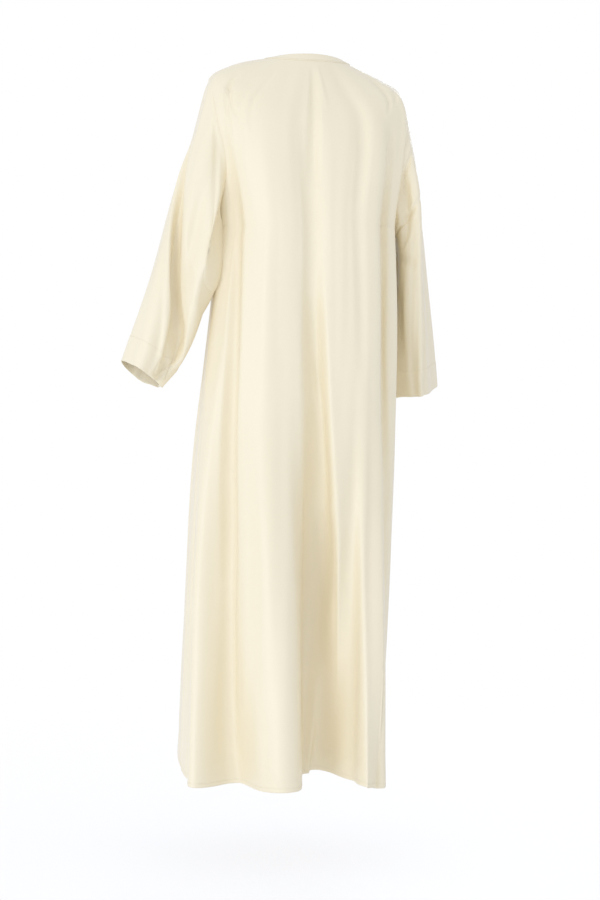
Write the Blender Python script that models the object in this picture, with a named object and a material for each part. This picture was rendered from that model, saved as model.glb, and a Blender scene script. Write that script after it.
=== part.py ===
"""An abaya cloak as it hangs when it is worn: back, two open fronts, two long sleeves and a neck facing.

Metres, +Z up. The front faces -Y and the left sleeve is on +X. The origin is the middle of the shoulder line,
level with the neck ends of the shoulder seams, which is where the shoulders hold the cloak.

The body is one smooth form, worked out from loops that run round it, from the neckline down to the hem. A place
on it has a turn (0 at the centre back, 90 at the left side seam, 180 at the centre front, -90 at the right side
seam) and a level (0 at the neckline, SHOULDER at the shoulder points, CHEST at the underarms, HEM at the hem).
The panels are cut from that form, and each sleeve runs from its armhole's own points to its cuff.
"""

import bpy
import numpy as np

# Cloth and seams
WALL = 0.0016
SEAM_GAP = 0.0003
SLEEVE_CLEAR = 0.0002
BAND_WALL = 0.0010
BAND_LIFT = 0.0004
BAND_LEVEL = 0.11

# Levels on the form, and how many rows and columns of cells the pieces have
SHOULDER, CHEST, HEM = 1.0, 2.0, 3.0
YOKE_ROWS = 4
ARMHOLE_ROWS = 12
SKIRT_ROWS = 13
BACK_COLUMNS = 56
FRONT_COLUMNS = 16
SLEEVE_ROWS = 15
SLEEVE_ROW_GROWTH = 1.2
BAND_ROWS = 2
BAND_COLUMNS = 56

# Half of the open front, in degrees of turn
FRONT_GAP_NECK = 0.4
FRONT_GAP_HEM = 3.0

# How far the armhole cuts into the panels at its widest, in degrees of turn
ARMHOLE_CUT_BACK = 30.0
ARMHOLE_CUT_FRONT = 36.0
ARMHOLE_ROUNDNESS = 0.55

# How much a fold's slant takes up the hem, for each metre squared of its depth
TAKE_UP = 0.75


def table(columns, rows):
    """Rows of numbers under named columns, as one array for each column."""
    return dict(zip(columns.split(), np.array(rows, float).T))


# Loops round the upper body. Each has its reach to the left and right, the height of its left and right ends,
# how far behind and in front of the shoulder line its middle lies, and how high, and how square it is.
YOKE = table(
    "level  left  right  left_z  right_z  back  back_z  front  front_z  square",
    [
        (0.00, 0.066, 0.080, 0.001, -0.006, 0.056, 0.004, 0.072, -0.090, 2.1),
        (0.33, 0.108, 0.116, -0.006, -0.022, 0.084, -0.038, 0.092, -0.125, 2.2),
        (0.67, 0.150, 0.155, -0.018, -0.040, 0.104, -0.082, 0.110, -0.160, 2.4),
        (1.00, 0.187, 0.189, -0.041, -0.062, 0.118, -0.126, 0.124, -0.196, 2.6),
        (2.00, 0.166, 0.172, -0.330, -0.330, 0.136, -0.330, 0.140, -0.330, 2.6),
    ],
)

# Level loops from the underarms down: how far the cloth reaches to each side, behind and in front.
SKIRT = table(
    "z  left  right  back  front  square",
    [
        (-0.33, 0.166, 0.172, 0.136, 0.140, 2.6),
        (-0.50, 0.184, 0.178, 0.142, 0.158, 2.5),
        (-0.75, 0.212, 0.176, 0.150, 0.185, 2.4),
        (-1.00, 0.228, 0.166, 0.160, 0.204, 2.4),
        (-1.20, 0.238, 0.158, 0.168, 0.214, 2.4),
        (-1.40, 0.250, 0.140, 0.176, 0.224, 2.4),
    ],
)

# Folds of the body: where a fold lies, how far it stands out (or in, when negative) and its half width in
# degrees, each at the shoulder blades, hips, calves and hem. Lean slides it sideways as a share of its depth.
FOLD_HEIGHTS = (-0.16, -0.75, -1.10, -1.40)
FOLD_START = -0.05
FOLDS = table(
    """
    turn_top  turn_hip  turn_calf  turn_hem  depth_top  depth_hip  depth_calf  depth_hem
    wide_top  wide_hip  wide_calf  wide_hem  lean
    """,
    [
        (60, 53, 48, 42, -0.004, -0.012, -0.030, -0.053, 9, 12, 14, 16, 0.0),
        (76, 72, 66, 59, 0.000, 0.005, 0.022, 0.043, 10, 14, 13, 12, -0.2),
        (34, 28, 23, 19, 0.002, 0.010, 0.030, 0.044, 16, 17, 16, 16, -0.2),
        (10, 5, 0, -1, -0.005, -0.016, -0.070, -0.086, 9, 14, 15, 15, 0.26),
        (-23, -20, -15, -13, -0.003, 0.000, -0.018, -0.060, 7, 9, 11, 11, 0.0),
        (-32, -30, -31, -31, 0.003, 0.010, 0.028, 0.056, 9, 11, 11, 10, 0.8),
        (-41, -41, -43, -45, 0.000, 0.002, 0.022, 0.044, 9, 9, 12, 13, 0.9),
        (-49, -47, -60, -72, -0.004, -0.008, -0.010, -0.013, 8, 9, 12, 15, 0.0),
        (118, 120, 127, 134, 0.000, 0.006, 0.018, 0.030, 14, 14, 15, 15, 0.0),
        (142, 142, 145, 148, -0.002, -0.010, -0.020, -0.030, 12, 12, 12, 12, 0.0),
        (164, 163, 163, 163, 0.000, 0.006, 0.011, 0.016, 11, 11, 11, 11, 0.0),
        (-164, -162, -162, -161, 0.000, 0.007, 0.012, 0.018, 11, 11, 11, 11, 0.0),
        (-143, -141, -139, -138, -0.002, -0.011, -0.022, -0.032, 12, 12, 12, 12, 0.0),
        (-121, -118, -116, -113, 0.000, 0.010, 0.020, 0.030, 14, 14, 14, 14, 0.0),
    ],
)

# The hem's height round the body.
HEM_LINE = table(
    "turn  z",
    [
        (-180, -1.345),
        (-130, -1.352),
        (-80, -1.396),
        (-42, -1.406),
        (-14, -1.390),
        (14, -1.404),
        (40, -1.404),
        (70, -1.398),
        (92, -1.381),
        (130, -1.322),
        (180, -1.340),
    ],
)

# Cuffs, as points round the opening: share 0 on the thumb side, a quarter behind, a half underneath.
LEFT_CUFF = table(
    "share  x  y  z",
    [
        (0.00, 0.360, -0.005, -0.590),
        (0.14, 0.348, 0.042, -0.597),
        (0.30, 0.322, 0.062, -0.615),
        (0.46, 0.289, 0.040, -0.637),
        (0.60, 0.286, -0.010, -0.642),
        (0.76, 0.314, -0.052, -0.630),
        (0.90, 0.346, -0.045, -0.603),
    ],
)
RIGHT_CUFF = table(
    "share  x  y  z",
    [
        (0.00, -0.287, -0.060, -0.639),
        (0.14, -0.262, -0.012, -0.652),
        (0.30, -0.226, 0.003, -0.660),
        (0.46, -0.198, -0.030, -0.662),
        (0.60, -0.196, -0.080, -0.662),
        (0.76, -0.222, -0.125, -0.660),
        (0.90, -0.266, -0.112, -0.648),
    ],
)

# How a sleeve leaves its armhole and reaches its cuff, along the top of the arm and along the underarm.
LEFT_RUN = table(
    "x  y  z",
    [
        (0.100, 0.00, -0.310),
        (0.160, 0.00, -0.030),
        (0.200, 0.00, -0.560),
        (0.300, 0.00, -0.300),
    ],
)
RIGHT_RUN = table(
    "x  y  z",
    [
        (-0.110, 0.00, -0.300),
        (-0.150, 0.00, -0.030),
        (-0.080, -0.10, -0.560),
        (-0.100, -0.10, -0.300),
    ],
)
TOP_START, UNDER_START, TOP_END, UNDER_END = range(4)

# Folds that run down the sleeves: their place round the sleeve at the armhole and at the cuff, how far they
# stand out at the armhole, elbow and cuff, and their half width. Places and widths are shares of the way round.
SLEEVE_FOLD_COLUMNS = "from_share  to_share  depth_top  depth_upper  depth_elbow  depth_cuff  wide"
SLEEVE_STATIONS = (0.0, 0.3, 0.6, 1.0)
LEFT_SLEEVE_FOLDS = table(
    SLEEVE_FOLD_COLUMNS,
    [
        (-0.10, 0.22, 0.000, 0.003, 0.008, 0.008, 0.10),
        (0.01, 0.33, 0.000, -0.006, -0.012, -0.012, 0.08),
        (0.22, 0.44, 0.000, 0.004, 0.006, 0.006, 0.09),
        (0.38, 0.40, 0.000, 0.060, 0.026, -0.008, 0.15),
        (0.72, 0.70, 0.000, -0.006, -0.008, -0.006, 0.10),
    ],
)
RIGHT_SLEEVE_FOLDS = table(
    SLEEVE_FOLD_COLUMNS,
    [
        (0.21, 0.24, 0.000, 0.006, 0.009, 0.010, 0.08),
        (0.08, 0.10, 0.000, -0.003, -0.006, -0.004, 0.08),
        (0.70, 0.72, 0.000, -0.006, -0.008, -0.006, 0.10),
    ],
)


def smooth(at, knots, values):
    """Cubic curve through the knots, with each knot's slope taken from its neighbours, held level outside them."""
    at = np.clip(at, knots[0], knots[-1])
    slopes = np.gradient(values, knots)
    cell = np.clip(np.searchsorted(knots, at, side="right") - 1, 0, len(knots) - 2)
    span = knots[cell + 1] - knots[cell]
    t = (at - knots[cell]) / span
    return (
        values[cell] * (1 + 2 * t) * (1 - t) ** 2
        + values[cell + 1] * t**2 * (3 - 2 * t)
        + span * t * (1 - t) * (slopes[cell] * (1 - t) - slopes[cell + 1] * t)
    )


def round_and_round(share, ring):
    """A point of a closed ring whose table gives x, y and z against share, from 0 to 1 all the way round."""
    knots = np.concatenate([ring["share"] - 1, ring["share"], ring["share"] + 1])
    return np.stack([smooth(share, knots, np.tile(ring[axis], 3)) for axis in "xyz"], axis=-1)


def bell(distance):
    """One at no distance, falling smoothly to nothing at distance one."""
    return np.where(np.abs(distance) < 1, (1 + np.cos(np.pi * distance)) / 2, 0.0)


def fold_push(turn, z):
    """How far the folds push the cloth out of the plain form, and how far they slide it sideways."""
    heights = np.array(FOLD_HEIGHTS[::-1])
    ease = np.clip((FOLD_START - z) / (FOLD_START - FOLD_HEIGHTS[0]), 0, 1)
    push = np.zeros(np.broadcast(turn, z).shape)
    slide = push.copy()
    for row in zip(*FOLDS.values()):
        turns, depths, widths = (np.array(row[i : i + 4][::-1]) for i in (0, 4, 8))
        away = turn - smooth(z, heights, turns)
        away = (away + 180) % 360 - 180
        stand = ease * smooth(z, heights, depths) * bell(away / smooth(z, heights, widths))
        push += stand
        slide += row[-1] * np.abs(stand)
    return push, slide


def hem_height(turn):
    return smooth((turn + 180) % 360 - 180, HEM_LINE["turn"], HEM_LINE["z"])


def form(turn, level):
    """A point of the cloth's middle surface: a squared ellipse in each quarter of a loop, moved by the folds."""
    sine, cosine = np.sin(np.radians(turn)), np.cos(np.radians(turn))
    upper = np.minimum(level, CHEST)
    yoke = {name: smooth(upper, YOKE["level"], column) for name, column in YOKE.items()}
    side_z = np.where(sine > 0, yoke["left_z"], yoke["right_z"])
    middle_z = np.where(cosine > 0, yoke["back_z"], yoke["front_z"])
    below = np.clip(level - CHEST, 0, HEM - CHEST)
    z = side_z * sine**2 + middle_z * cosine**2 + below * (hem_height(turn) - SKIRT["z"][0])
    knots = SKIRT["z"][::-1]
    skirt = {name: smooth(z, knots, column[::-1]) for name, column in SKIRT.items()}
    reach = {name: np.where(level > CHEST, column, yoke[name]) for name, column in skirt.items() if name != "z"}
    wide = np.where(sine > 0, reach["left"], reach["right"])
    deep = np.where(cosine > 0, reach["back"], reach["front"])
    power = reach["square"]
    corner = (np.abs(sine) ** power + np.abs(cosine) ** power) ** (-1 / power)
    across, ahead = sine / wide, cosine / deep
    steep = np.hypot(across, ahead)
    across, ahead = across / steep, ahead / steep
    push, slide = fold_push(turn, z)
    x = wide * sine * corner + push * across + slide * ahead
    y = deep * cosine * corner + push * ahead - slide * across
    return np.stack([x, y, z + TAKE_UP * push**2], axis=-1)


def armhole_cut(level, cut):
    """How many degrees the armhole takes off a panel's side at a level, rounded at the shoulder and underarm."""
    way_down = np.clip((level - SHOULDER) / (CHEST - SHOULDER), 0, 1)
    return cut * np.sin(np.pi * way_down) ** ARMHOLE_ROUNDNESS


def panel_levels():
    """The levels of the rows, closer together at both ends of the armhole."""
    yoke = np.linspace(0, SHOULDER, YOKE_ROWS, endpoint=False)
    step = np.arange(ARMHOLE_ROWS) / ARMHOLE_ROWS
    armhole = SHOULDER + (1 - np.cos(np.pi * step)) / 2
    return np.concatenate([yoke, armhole, np.linspace(CHEST, HEM, SKIRT_ROWS + 1)])


def back_points():
    level = panel_levels()[:, None]
    reach = 90 - armhole_cut(level, ARMHOLE_CUT_BACK)
    return form(np.linspace(-1, 1, BACK_COLUMNS + 1) * reach, level)


def front_points(side):
    """A front panel, from its side seam to the centre front. Side is 1 for the left and -1 for the right."""
    level = panel_levels()[:, None]
    start = 90 + armhole_cut(level, ARMHOLE_CUT_FRONT)
    opening = np.clip(level - SHOULDER, 0, None) / (HEM - SHOULDER)
    end = 180 - FRONT_GAP_NECK - (FRONT_GAP_HEM - FRONT_GAP_NECK) * opening
    share = np.linspace(0, 1, FRONT_COLUMNS + 1)
    return form(side * (start + share * (end - start)), level)


def sleeve_points(side, cuff, run, folds):
    """Rows from the armhole to the cuff, each running from the top round the back and the underarm to the top.

    A curve leaves each point of the armhole and reaches the same share of the cuff, and the folds push it out.
    """
    rows = slice(YOKE_ROWS, YOKE_ROWS + ARMHOLE_ROWS + 1)
    behind = back_points()[rows, -1 if side > 0 else 0]
    ahead = front_points(side)[rows, 0]
    armhole = np.concatenate([behind, ahead[-2:0:-1]])
    share = np.arange(len(armhole)) / len(armhole)
    top = ((1 + np.cos(2 * np.pi * share)) / 2)[:, None]
    ways = np.stack([run[axis] for axis in "xyz"], axis=-1)
    leave = top * ways[TOP_START] + (1 - top) * ways[UNDER_START]
    arrive = top * ways[TOP_END] + (1 - top) * ways[UNDER_END]
    t = np.linspace(0, 1, SLEEVE_ROWS + 1)[:, None, None] ** SLEEVE_ROW_GROWTH
    points = (
        armhole * (1 + 2 * t) * (1 - t) ** 2
        + round_and_round(share, cuff) * t**2 * (3 - 2 * t)
        + leave * t * (1 - t) ** 2
        - arrive * t**2 * (1 - t)
    )
    outward = points - points.mean(axis=1, keepdims=True)
    outward /= np.linalg.norm(outward, axis=2, keepdims=True)
    return points + outward * sleeve_push(share, t[:, :, 0], folds)[:, :, None]


def sleeve_push(share, t, folds):
    """How far a sleeve's folds push it out, at a share of the way round and a share t of the way down."""
    stations = np.array(SLEEVE_STATIONS)
    push = np.zeros(np.broadcast(share, t).shape)
    for from_share, to_share, *depths, wide in zip(*folds.values()):
        away = share - (from_share + (to_share - from_share) * t)
        away = (away + 0.5) % 1 - 0.5
        push += smooth(t, stations, np.array(depths)) * bell(away / wide)
    return push


def surface_normals(points, closed):
    """Unit normals of a grid of points, facing the way that rows cross columns."""
    along = np.gradient(points, axis=0)
    if closed:
        around = (np.roll(points, -1, axis=1) - np.roll(points, 1, axis=1)) / 2
    else:
        around = np.gradient(points, axis=1)
    normal = np.cross(along, around)
    return normal / np.linalg.norm(normal, axis=2, keepdims=True)


def share_seam_normals(pieces):
    """Where pieces have a point in common, gives them one normal, so that both walls meet in one mitre.

    Panels and sleeves count the same, however many panels meet there.
    """
    places = np.concatenate([piece["points"].reshape(-1, 3) for piece in pieces])
    normals = np.concatenate([piece["normals"].reshape(-1, 3) for piece in pieces])
    tube = np.concatenate([np.full(piece["points"].shape[:2], piece["closed"]).ravel() for piece in pieces])
    _, group = np.unique(np.round(places, 6), axis=0, return_inverse=True)
    group = group.reshape(-1)
    total = 0
    for kind in (tube, ~tube):
        part = np.stack([np.bincount(group, normals[:, axis] * kind) for axis in range(3)], axis=-1)
        total = total + part / np.maximum(np.linalg.norm(part, axis=1, keepdims=True), 1e-9)
    total /= np.linalg.norm(total, axis=1, keepdims=True)
    mitred = total[group]
    start = 0
    for piece in pieces:
        rows, columns, _ = piece["points"].shape
        piece["normals"] = mitred[start : start + rows * columns].reshape(rows, columns, 3)
        start += rows * columns


def draw_back(points, normals, closed, distance):
    """The grid with its edges drawn back by a distance, at right angles to the edge and to the wall's normals."""
    drawn = points.copy()
    edges = [(0, 1, 0), (-1, -2, 0)] if closed else [(0, 1, 0), (-1, -2, 0), (0, 1, 1), (-1, -2, 1)]
    for edge, inner, axis in edges:
        here, beside = (np.take(points, index, axis=axis) for index in (edge, inner))
        normal = np.take(normals, edge, axis=axis)
        line = np.gradient(here, axis=0)
        line /= np.linalg.norm(line, axis=1, keepdims=True)
        inward = beside - here
        for taken in (normal, line):
            inward = inward - (inward * taken).sum(axis=1, keepdims=True) * taken
        inward /= np.linalg.norm(inward, axis=1, keepdims=True)
        index = [slice(None)] * 3
        index[axis] = edge
        drawn[tuple(index)] += inward * distance
    return drawn


def wall_object(name, points, normals, material, closed=False, thickness=WALL, lift=0.0):
    """A closed wall of cloth on a grid of points, half its thickness to each side of them, lifted outwards."""
    rows, columns, _ = points.shape
    outer = points + normals * (lift + thickness / 2)
    inner = points + normals * (lift - thickness / 2)
    vertices = np.concatenate([outer.reshape(-1, 3), inner.reshape(-1, 3)])
    index = np.arange(rows * columns).reshape(rows, columns)
    across = np.concatenate([index, index[:, :1]], axis=1) if closed else index
    corners = [across[:-1, :-1], across[1:, :-1], across[1:, 1:], across[:-1, 1:]]
    cells = np.stack([corner.ravel() for corner in corners], axis=-1)
    outside = np.concatenate([cells[:, [0, 1, 2]], cells[:, [0, 2, 3]]])
    faces = [outside, outside[:, ::-1] + rows * columns]
    rims = [across[0, ::-1], across[-1]]
    if not closed:
        rims += [index[:, 0], index[::-1, -1]]
    for rim in rims:
        below = rim + rows * columns
        faces.append(np.stack([rim[:-1], below[:-1], below[1:]], axis=-1))
        faces.append(np.stack([rim[:-1], below[1:], rim[1:]], axis=-1))
    mesh = bpy.data.meshes.new(name)
    mesh.from_pydata(vertices.tolist(), [], np.concatenate(faces).tolist())
    mesh.materials.append(material)
    mesh.update()
    mesh.shade_smooth()
    mesh.set_sharp_from_angle(angle=np.radians(50))
    cloth = bpy.data.objects.new(name, mesh)
    bpy.context.scene.collection.objects.link(cloth)
    return cloth


def crepe():
    """Cream crepe with a soft, low sheen."""
    material = bpy.data.materials.new("cream_crepe")
    material.use_nodes = True
    shader = material.node_tree.nodes["Principled BSDF"]
    shader.inputs["Base Color"].default_value = (0.83, 0.77, 0.62, 1)
    shader.inputs["Roughness"].default_value = 0.62
    shader.inputs["Metallic"].default_value = 0.0
    return material


def band_points():
    """The strip of the form beside the neckline, all round from one front edge to the other."""
    turn = np.linspace(180 - FRONT_GAP_NECK, -180 + FRONT_GAP_NECK, BAND_COLUMNS + 1)
    level = np.linspace(0, BAND_LEVEL, BAND_ROWS + 1)[:, None]
    return form(turn, level)


def build():
    for thing in list(bpy.data.objects):
        bpy.data.objects.remove(thing)
    cloth = crepe()
    left = sleeve_points(1, LEFT_CUFF, LEFT_RUN, LEFT_SLEEVE_FOLDS)
    right = sleeve_points(-1, RIGHT_CUFF, RIGHT_RUN, RIGHT_SLEEVE_FOLDS)[:, ::-1]
    pieces = [
        {"name": "back", "points": back_points()[:, ::-1], "closed": False},
        {"name": "front_left", "points": front_points(1)[:, ::-1], "closed": False},
        {"name": "front_right", "points": front_points(-1), "closed": False},
        {"name": "sleeve_left", "points": left, "closed": True},
        {"name": "sleeve_right", "points": right, "closed": True},
    ]
    for piece in pieces:
        piece["normals"] = surface_normals(piece["points"], piece["closed"])
    share_seam_normals(pieces)
    for piece in pieces:
        distance = SLEEVE_CLEAR if piece["closed"] else SEAM_GAP / 2
        drawn = draw_back(piece["points"], piece["normals"], piece["closed"], distance)
        wall_object(piece["name"], drawn, piece["normals"], cloth, piece["closed"])
    strip = band_points()
    lift = WALL / 2 + BAND_LIFT + BAND_WALL / 2
    wall_object("neck_band", strip, surface_normals(strip, False), cloth, thickness=BAND_WALL, lift=lift)


build()
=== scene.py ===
"""An abaya cloak of cream crepe, seen from behind as it hangs when it is worn.

The cloth of each panel and sleeve is one surface, worked out on a grid. The body is a form with two
parameters: turn runs round it (0 at the centre back, 90 at the left side seam, 180 at the centre
front) and level runs down it (0 at the neckline, 1 at the shoulder points, 2 at the underarms, 3 at the
hem). Hems and front edges are turned under as rows or columns that go back on the inside.
"""

import math

import bpy
import numpy as np
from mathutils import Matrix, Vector


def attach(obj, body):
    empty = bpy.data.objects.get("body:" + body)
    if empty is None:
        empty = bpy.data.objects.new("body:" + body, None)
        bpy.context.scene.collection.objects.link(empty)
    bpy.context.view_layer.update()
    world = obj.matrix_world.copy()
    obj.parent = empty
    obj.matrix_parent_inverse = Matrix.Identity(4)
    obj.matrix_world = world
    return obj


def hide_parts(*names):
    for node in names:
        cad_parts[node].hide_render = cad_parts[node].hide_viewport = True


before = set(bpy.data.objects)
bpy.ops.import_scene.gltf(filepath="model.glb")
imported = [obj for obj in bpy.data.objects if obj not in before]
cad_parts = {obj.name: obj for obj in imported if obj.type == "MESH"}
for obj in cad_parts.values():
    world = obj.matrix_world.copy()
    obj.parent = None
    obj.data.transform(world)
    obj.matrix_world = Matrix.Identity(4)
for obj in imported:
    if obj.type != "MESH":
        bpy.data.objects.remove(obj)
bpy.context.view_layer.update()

# View: the camera stands behind the cloak and a little to its left. Its focus is given in rows of the picture
FOCUS_ROWS, PICTURE_ROWS, SENSOR_MM = 2388.0, 900.0, 36.0
CAMERA_TURN = math.radians(13.0)
CAMERA_DISTANCE = 4.7
CAMERA_Z = -0.617
CAMERA_TILT = math.radians(1.8)
CAMERA_PAN = 4.0 / FOCUS_ROWS
CAMERA_LENS = FOCUS_ROWS / PICTURE_ROWS * SENSOR_MM

# Light and floor: keys stand at a turn from the centre back, and the light is slightly cool
KEY_TURN, KEY_HEIGHT = math.radians(50.0), -0.6
FRONT_KEY_TURN, FRONT_KEY_HEIGHT = math.radians(205.0), 0.5
KEY_AIM = (0.0, 0.0, -0.7)
KEY_DISTANCE = 4.2
KEY_SIZE = 1.6
KEY_POWER = 31.0
SKY_DIM, SKY_BRIGHT = 0.79, 0.97
LIGHT_TINT = (0.970, 1.015, 1.155)
FLOOR_Z = -1.567
FLOOR_REACH = 4.0
FLOOR_SIDES = 96

# Colours of the crepe where its tone is lightest and darkest
CREPE_LIGHT = (0.880, 0.786, 0.560, 1.0)
CREPE_DARK = (0.852, 0.754, 0.524, 1.0)

# Levels on the form
SHOULDER, CHEST, HEM = 1.0, 2.0, 3.0
SKIRT_LENGTH = 1.075

# Small steps on a form, for its directions: down it or along a sleeve, and round it in degrees
STEP = 0.004
TURN_STEP = 0.4

# Cloth and its edges, in metres
TURN_GAP = 0.0011
HEM_DEPTH = 0.040
HEM_STITCH = 0.0075
CUFF_DEPTH = 0.050
CUFF_STITCH = 0.049
FACING_DEPTH = 0.035
HEM_STEP = 0.00035
STITCH_GROOVE, GROOVE_WIDTH = 0.0004, 0.0012
SEAM_DIP = 0.0011
SEAM_WIDTH = 0.0035
SLEEVE_RISE = SEAM_DIP * 0.8
UNDERARM_DIP = SEAM_DIP * 0.6
STITCH_LENGTH, STITCH_PITCH, STITCH_RADIUS = 0.0024, 0.0034, 0.00030

# The body's open front and armholes, in degrees of turn
FRONT_GAP_NECK = 0.4
FRONT_GAP_HEM = 3.0
ARMHOLE_CUT_BACK = 30.0
ARMHOLE_CUT_FRONT = 36.0
ARMHOLE_ROUNDNESS = 0.55

# A fold that stands out by d also lifts the cloth by this times d squared
TAKE_UP = 0.75

# Power of a crease's fade towards its ends, the level at which the waves have their full height, and the
# share of a sleeve over which its creases come in
CREASE_FADE = 0.8
WAVE_START = 0.6
SLEEVE_EASE = 0.06

# Rows from the neckline to the hem's turning, rows of a turning, and rows of a sleeve as shares of it
YOKE_ROWS, ARMHOLE_ROWS, SKIRT_ROWS = 34, 76, 165
HEM_START = YOKE_ROWS + ARMHOLE_ROWS + SKIRT_ROWS
INSIDE_ROWS = 8
ROW_SPACING = 0.006
SLEEVE_ROWS = 150
SLEEVE_START = np.array([0.0, 0.003, 0.006, 0.010, 0.015])

# Columns of the panels and of the neck band, with close ones at the seams and over the front facings
BACK_COLUMNS, BACK_WIDTH = 236, 0.60
FRONT_COLUMNS, FRONT_WIDTH = 112, 0.32
EDGE_STEPS = np.array([0.0, 0.0012, 0.0026, 0.0042, 0.006, 0.009])
FACING_SHARES = np.array([0.004, 0.03, 0.1, 0.25, 0.5, 0.75, 1.0])
METRES_PER_DEGREE = 0.0034
BAND_COLUMNS = 361

# Rough sizes of a sleeve, for the width of its seams
SLEEVE_LENGTH, SLEEVE_GIRTH = 0.35, 0.40

# Rings of a stitch along it and points of a ring, and the neck band's row that is stitched
STITCH_STATIONS = np.array([-1.0, -0.6, 0.0, 0.6, 1.0])
STITCH_SIDES = 6
BAND_STITCH_ROW = 12


def table(columns, rows):
    """Rows of numbers under named columns, as one array for each column."""
    return dict(zip(columns.split(), np.array(rows, float).T))


# Loops round the upper body: reach to each side, heights and depths of each loop, and how square it is
YOKE = table(
    "level  left  right  left_z  right_z  back  back_z  front  front_z  square",
    [
        (0.00, 0.066, 0.080, 0.001, -0.006, 0.056, 0.004, 0.072, -0.090, 2.1),
        (0.33, 0.108, 0.116, -0.006, -0.022, 0.084, -0.038, 0.092, -0.125, 2.2),
        (0.67, 0.150, 0.155, -0.018, -0.040, 0.104, -0.082, 0.110, -0.160, 2.4),
        (1.00, 0.187, 0.189, -0.041, -0.062, 0.118, -0.126, 0.124, -0.196, 2.6),
        (2.00, 0.166, 0.172, -0.330, -0.330, 0.136, -0.330, 0.140, -0.330, 2.6),
    ],
)

# Level loops from the underarms down
SKIRT = table(
    "z  left  right  back  front  square",
    [
        (-0.33, 0.166, 0.172, 0.136, 0.140, 2.6),
        (-0.50, 0.184, 0.178, 0.142, 0.158, 2.5),
        (-0.75, 0.212, 0.176, 0.150, 0.185, 2.4),
        (-1.00, 0.228, 0.166, 0.160, 0.204, 2.4),
        (-1.20, 0.238, 0.158, 0.168, 0.214, 2.4),
        (-1.40, 0.250, 0.140, 0.176, 0.224, 2.4),
    ],
)

# Main folds of the body, with turn, depth and half width at the top, the hip and calf lines and the hem
FOLD_HEIGHTS = (-0.16, -0.75, -1.10, -1.40)
FOLD_START = -0.05
FOLDS = table(
    """
    turn_top  turn_hip  turn_calf  turn_hem  depth_top  depth_hip  depth_calf  depth_hem
    wide_top  wide_hip  wide_calf  wide_hem  lean
    """,
    [
        (60, 53, 48, 42, -0.004, -0.012, -0.030, -0.053, 9, 12, 14, 16, 0.0),
        (76, 72, 66, 59, 0.000, 0.005, 0.022, 0.043, 10, 14, 13, 12, -0.2),
        (34, 28, 23, 19, 0.002, 0.010, 0.030, 0.044, 16, 17, 16, 16, -0.2),
        (10, 5, 0, -1, -0.005, -0.016, -0.070, -0.086, 9, 14, 15, 15, 0.26),
        (-23, -20, -15, -13, -0.003, 0.000, -0.018, -0.060, 7, 9, 11, 11, 0.0),
        (-32, -30, -31, -31, 0.003, 0.010, 0.028, 0.056, 9, 11, 11, 10, 0.8),
        (-41, -41, -43, -45, 0.000, 0.002, 0.022, 0.044, 9, 9, 12, 13, 0.9),
        (-49, -47, -60, -72, -0.004, -0.008, -0.010, -0.013, 8, 9, 12, 15, 0.0),
        (118, 120, 127, 134, 0.000, 0.006, 0.018, 0.030, 14, 14, 15, 15, 0.0),
        (142, 142, 145, 148, -0.002, -0.010, -0.020, -0.030, 12, 12, 12, 12, 0.0),
        (164, 163, 163, 163, 0.000, 0.006, 0.011, 0.016, 11, 11, 11, 11, 0.0),
        (-164, -162, -162, -161, 0.000, 0.007, 0.012, 0.018, 11, 11, 11, 11, 0.0),
        (-143, -141, -139, -138, -0.002, -0.011, -0.022, -0.032, 12, 12, 12, 12, 0.0),
        (-121, -118, -116, -113, 0.000, 0.010, 0.020, 0.030, 14, 14, 14, 14, 0.0),
    ],
)

# Height of the hem's edge round the body
HEM_LINE = table(
    "turn  z",
    [
        (-180, -1.345),
        (-130, -1.352),
        (-80, -1.396),
        (-42, -1.406),
        (-14, -1.390),
        (14, -1.404),
        (40, -1.404),
        (70, -1.398),
        (92, -1.381),
        (130, -1.322),
        (180, -1.340),
    ],
)

# Points of each cuff, from the top round the back, the underarm and the front
LEFT_CUFF = table(
    "share  x  y  z",
    [
        (0.00, 0.360, -0.005, -0.590),
        (0.14, 0.348, 0.042, -0.597),
        (0.30, 0.322, 0.062, -0.615),
        (0.46, 0.289, 0.040, -0.637),
        (0.60, 0.286, -0.010, -0.642),
        (0.76, 0.314, -0.052, -0.630),
        (0.90, 0.346, -0.045, -0.603),
    ],
)
RIGHT_CUFF = table(
    "share  x  y  z",
    [
        (0.00, -0.287, -0.060, -0.639),
        (0.14, -0.262, -0.012, -0.652),
        (0.30, -0.226, 0.003, -0.660),
        (0.46, -0.198, -0.030, -0.662),
        (0.60, -0.196, -0.080, -0.662),
        (0.76, -0.222, -0.125, -0.660),
        (0.90, -0.266, -0.112, -0.648),
    ],
)

# Directions in which the top and the underside of a sleeve leave the armhole and reach the cuff
LEFT_RUN = table(
    "x  y  z",
    [
        (0.100, 0.00, -0.310),
        (0.160, 0.00, -0.030),
        (0.200, 0.00, -0.560),
        (0.300, 0.00, -0.300),
    ],
)
RIGHT_RUN = table(
    "x  y  z",
    [
        (-0.110, 0.00, -0.300),
        (-0.150, 0.00, -0.030),
        (-0.080, -0.10, -0.560),
        (-0.100, -0.10, -0.300),
    ],
)
TOP_START, UNDER_START, TOP_END, UNDER_END = range(4)

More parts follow.
